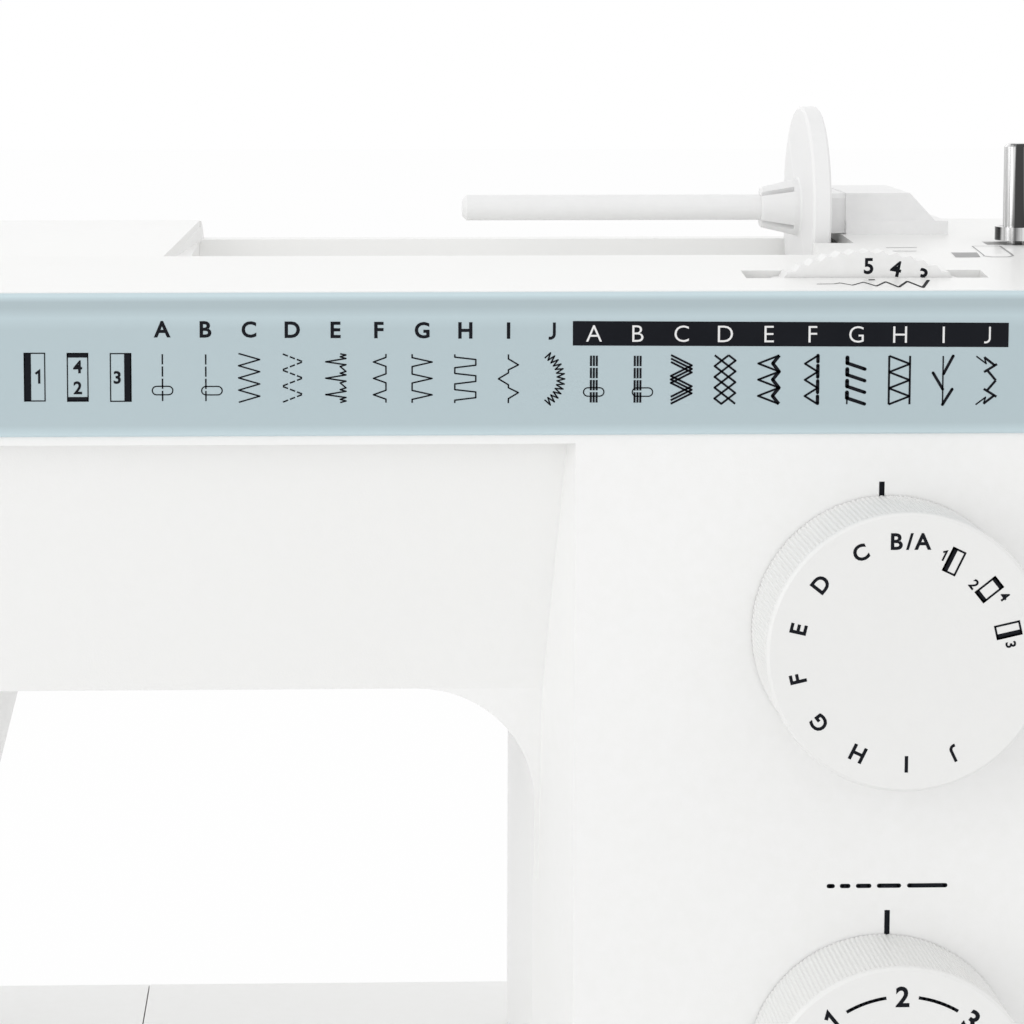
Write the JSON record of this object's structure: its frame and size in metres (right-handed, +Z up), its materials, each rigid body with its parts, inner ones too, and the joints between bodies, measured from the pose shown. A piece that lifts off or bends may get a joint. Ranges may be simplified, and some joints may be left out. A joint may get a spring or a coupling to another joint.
{
  "type": "sewing machine",
  "caption": "Household sewing machine with free arm, extension table, stitch dials, thumbwheel, spool holder, bobbin winder and handwheel, with its inner drive.",
  "frame": {"origin": "middle of the footprint, on the table under the rubber feet", "axes": "+X to the user's right along the arm, +Y to the back, +Z up"},
  "size_m": [0.392, 0.174, 0.2993],
  "materials": {
    "white_cover": "satin white moulding",
    "blue_strip": "glossy pale blue",
    "dial_white": "satin white",
    "spool_plastic": "white",
    "chrome": "polished",
    "steel": "ground",
    "casting": "as cast",
    "brass": "sintered",
    "dark_plastic": "black",
    "clear": "clear",
    "motor_paint": "dark enamel",
    "rubber": "matt"
  },
  "bodies": {
    "machine": {"front_cover": "white_cover", "rear_cover": "white_cover", "top_cover": "white_cover", "base_housing": "white_cover", "free_arm_cover": "white_cover", "stitch_strip": "blue_strip", "spool_pin": "spool_plastic", "spool_stand": "spool_plastic", "winder_stopper": "spool_plastic", "thread_guide": "chrome", "needle_plate": "chrome", "cover_screws": "chrome", "face_hinge_pin": "steel", "tension_discs": "steel", "frame_casting": "casting", "head_bracket": "casting", "shaft_bushes": "brass", "base_plate": "dark_plastic", "power_inlet": "dark_plastic", "bobbin_holder": "dark_plastic", "sewing_lamp": "clear", "motor": "motor_paint", "rubber_feet": "rubber", "drive_belt": "rubber", "timing_belt": "rubber"},
    "handwheel_set": {"handwheel": "dial_white", "arm_shaft": "steel", "drive_pulley": "dark_plastic"},
    "motor_drive": {"motor_pulley": "dark_plastic"},
    "lower_drive": {"lower_shaft": "steel"},
    "hook_set": {"rotary_hook": "steel"},
    "bobbin_set": {"bobbin": "clear"},
    "needle_set": {"needle_bar": "steel", "needle_clamp": "chrome", "clamp_screw": "chrome", "needle": "steel"},
    "take_up_set": {"take_up_lever": "chrome"},
    "presser_set": {"presser_bar": "steel", "presser_ankle": "chrome"},
    "foot_set": {"presser_foot": "chrome"},
    "lifter_set": {"presser_lifter": "steel"},
    "pattern_set": {"pattern_dial": "dial_white"},
    "length_set": {"length_dial": "dial_white"},
    "width_set": {"width_wheel": "dial_white"},
    "reverse_set": {"reverse_lever": "dial_white"},
    "winder_slider": {"winder_carriage": "dark_plastic"},
    "winder_set": {"winder_spindle": "chrome"},
    "tension_set": {"tension_dial": "dial_white"},
    "face_set": {"face_cover": "white_cover"},
    "table_set": {"extension_table": "white_cover"},
    "door_set": {"accessory_door": "white_cover"},
    "cover_set": {"hook_cover": "clear"},
    "feed_set": {"feed_bar": "steel", "feed_dog": "steel"},
    "handle_set": {"carry_handle": "dial_white"},
    "switch_set": {"power_switch": "dark_plastic"},
    "cap_set": {"spool_cap": "spool_plastic"}
  },
  "joints": [
    {"name": "handwheel_turn", "type": "hinge", "parent": "machine", "child": "handwheel_set", "pos_m": [0.17, -0.005, 0.222], "axis": [1, 0, 0], "continuous": true},
    {"name": "motor_turn", "type": "hinge", "parent": "machine", "child": "motor_drive", "pos_m": [0.15, -0.025, 0.055], "axis": [1, 0, 0], "continuous": true},
    {"name": "lower_shaft_turn", "type": "hinge", "parent": "machine", "child": "lower_drive", "pos_m": [0.08, -0.005, 0.047], "axis": [1, 0, 0], "continuous": true},
    {"name": "hook_turn", "type": "hinge", "parent": "machine", "child": "hook_set", "pos_m": [-0.118, -0.023, 0.067], "axis": [0, 0, 1], "continuous": true},
    {"name": "bobbin_turn", "type": "hinge", "parent": "machine", "child": "bobbin_set", "pos_m": [-0.118, -0.023, 0.07], "axis": [0, 0, 1], "continuous": true},
    {"name": "needle_bar_slide", "type": "slide", "parent": "machine", "child": "needle_set", "axis": [0, 0, 1], "range_m": [-0.028, 0]},
    {"name": "take_up_swing", "type": "hinge", "parent": "machine", "child": "take_up_set", "pos_m": [-0.137, -0.022, 0.226], "axis": [1, 0, 0], "range_deg": [0, 35]},
    {"name": "presser_lift", "type": "slide", "parent": "machine", "child": "presser_set", "axis": [0, 0, 1], "range_m": [0, 0.006]},
    {"name": "foot_tilt", "type": "hinge", "parent": "presser_set", "child": "foot_set", "pos_m": [-0.118, 0.008, 0.085], "axis": [1, 0, 0], "range_deg": [-4, 0]},
    {"name": "lifter_turn", "type": "hinge", "parent": "machine", "child": "lifter_set", "pos_m": [-0.104, 0.06, 0.16], "axis": [0, -1, 0], "range_deg": [0, 75]},
    {"name": "pattern_turn", "type": "hinge", "parent": "machine", "child": "pattern_set", "pos_m": [0.1147, -0.07, 0.1965], "axis": [0, 1, 0], "continuous": true},
    {"name": "length_turn", "type": "hinge", "parent": "machine", "child": "length_set", "pos_m": [0.1147, -0.07, 0.1058], "axis": [0, 1, 0], "range_deg": [-80, 160]},
    {"name": "width_turn", "type": "hinge", "parent": "machine", "child": "width_set", "pos_m": [0.1124, -0.046, 0.2392], "axis": [0, 1, 0], "range_deg": [-55, 0]},
    {"name": "reverse_push", "type": "hinge", "parent": "machine", "child": "reverse_set", "pos_m": [0.1124, -0.063, 0.05], "axis": [1, 0, 0], "range_deg": [0, 15], "stiffness_Nm_per_rad": 0.3},
    {"name": "winder_shift", "type": "slide", "parent": "machine", "child": "winder_slider", "axis": [1, 0, 0], "range_m": [0, 0.005]},
    {"name": "winder_turn", "type": "hinge", "parent": "winder_slider", "child": "winder_set", "pos_m": [0.153, -0.004, 0.28], "axis": [0, 0, 1], "continuous": true},
    {"name": "tension_turn", "type": "hinge", "parent": "machine", "child": "tension_set", "pos_m": [-0.121, -0.042, 0.214], "axis": [1, 0, 0], "range_deg": [-140, 140]},
    {"name": "face_cover_swing", "type": "hinge", "parent": "machine", "child": "face_set", "pos_m": [-0.14815, 0.0574, 0.2], "axis": [0, 0, -1], "range_deg": [0, 95]},
    {"name": "table_slide", "type": "slide", "parent": "machine", "child": "table_set", "axis": [-1, 0, 0], "range_m": [0, 0.15]},
    {"name": "door_swing", "type": "hinge", "parent": "table_set", "child": "door_set", "pos_m": [-0.12, -0.072, 0.017], "axis": [1, 0, 0], "range_deg": [0, 80]},
    {"name": "hook_cover_lift", "type": "slide", "parent": "machine", "child": "cover_set", "axis": [0, 0, 1], "range_m": [0, 0.03]},
    {"name": "feed_move", "type": "slide", "parent": "machine", "child": "feed_set", "axis": [0, 1, 0], "range_m": [-0.002, 0.002]},
    {"name": "handle_swing", "type": "hinge", "parent": "machine", "child": "handle_set", "pos_m": [0.02, 0.061, 0.25], "axis": [1, 0, 0], "range_deg": [0, 170]},
    {"name": "switch_rock", "type": "hinge", "parent": "machine", "child": "switch_set", "pos_m": [0.162, 0.01, 0.045], "axis": [0, 1, 0], "range_deg": [0, 16]},
    {"name": "spool_cap_slide", "type": "slide", "parent": "machine", "child": "cap_set", "axis": [-1, 0, 0], "range_m": [0, 0.085]}
  ],
  "couplings": [
    {"joint": "motor_turn", "follows": "handwheel_turn", "ratio": 3.5},
    {"joint": "lower_shaft_turn", "follows": "handwheel_turn", "ratio": 1},
    {"joint": "hook_turn", "follows": "handwheel_turn", "ratio": 2},
    {"joint": "presser_lift", "follows": "lifter_turn", "m_per_rad": 0.0045837}
  ]
}
